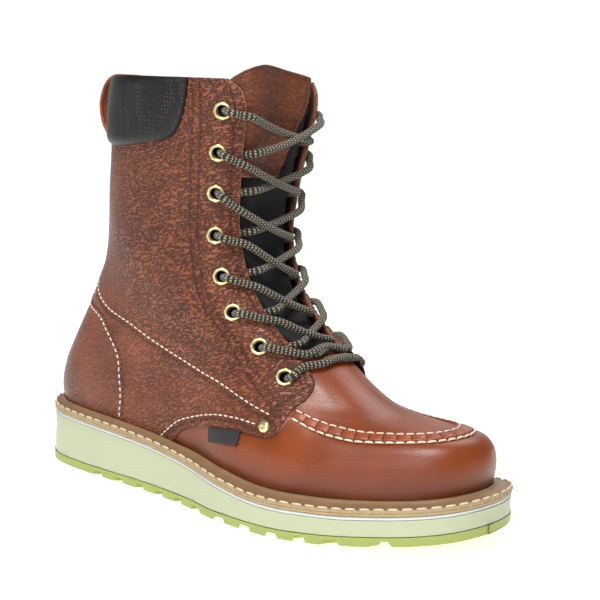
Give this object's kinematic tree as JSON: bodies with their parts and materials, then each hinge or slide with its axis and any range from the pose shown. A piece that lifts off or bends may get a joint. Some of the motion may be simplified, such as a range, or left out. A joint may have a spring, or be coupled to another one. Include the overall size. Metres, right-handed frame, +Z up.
{
  "type": "work boot",
  "caption": "Lace-up leather work boot for the right foot, with a raised toe seam, padded collar, hollow upper, wedge sole and zigzag tread",
  "frame": {"origin": "on the ground, under the middle of the sole's length and breadth", "axes": "+X points to the toe along the sole, +Y to the inner side of the foot, +Z up"},
  "size_m": [0.308, 0.1128, 0.2453],
  "materials": {
    "outsole_rubber": "satin moulded rubber, green at the side and yellow underneath",
    "wedge_foam": "smooth pale foam rubber",
    "strip_rubber": "matte grey",
    "welt_leather": "tan, waxed edge",
    "insole_board": "matte natural",
    "upper_leather": "soft grained red brown",
    "tongue_textile": "woven black",
    "facing_leather": "smooth red brown",
    "pad_leather": "grained black, padded",
    "loop_leather": "smooth red brown",
    "tab_material": "woven black, bare",
    "badge_rubber": "smooth black, bare",
    "eyelet_brass": "polished",
    "lace_cord": "round braid, beige and black"
  },
  "bodies": {
    "root": {"outsole": "outsole_rubber", "wedge": "wedge_foam", "midsole_strip": "strip_rubber", "welt": "welt_leather", "insole": "insole_board", "upper": "upper_leather", "tongue": "tongue_textile", "tongue_facing": "facing_leather", "collar_pad": "pad_leather", "pull_loop": "loop_leather", "side_tab": "tab_material", "sole_badge": "badge_rubber", "eyelet_lateral_1": "eyelet_brass", "eyelet_lateral_2": "eyelet_brass", "eyelet_lateral_3": "eyelet_brass", "eyelet_lateral_4": "eyelet_brass", "eyelet_lateral_5": "eyelet_brass", "eyelet_lateral_6": "eyelet_brass", "eyelet_lateral_7": "eyelet_brass", "eyelet_lateral_8": "eyelet_brass", "rivet_lateral": "eyelet_brass", "eyelet_medial_1": "eyelet_brass", "eyelet_medial_2": "eyelet_brass", "eyelet_medial_3": "eyelet_brass", "eyelet_medial_4": "eyelet_brass", "eyelet_medial_5": "eyelet_brass", "eyelet_medial_6": "eyelet_brass", "eyelet_medial_7": "eyelet_brass", "eyelet_medial_8": "eyelet_brass", "rivet_medial": "eyelet_brass", "lace_cross_1": "lace_cord", "lace_cross_2": "lace_cord", "lace_cross_3": "lace_cord", "lace_cross_4": "lace_cord", "lace_cross_5": "lace_cord", "lace_cross_6": "lace_cord", "lace_cross_7": "lace_cord", "lace_bar": "lace_cord"}
  },
  "joints": []
}
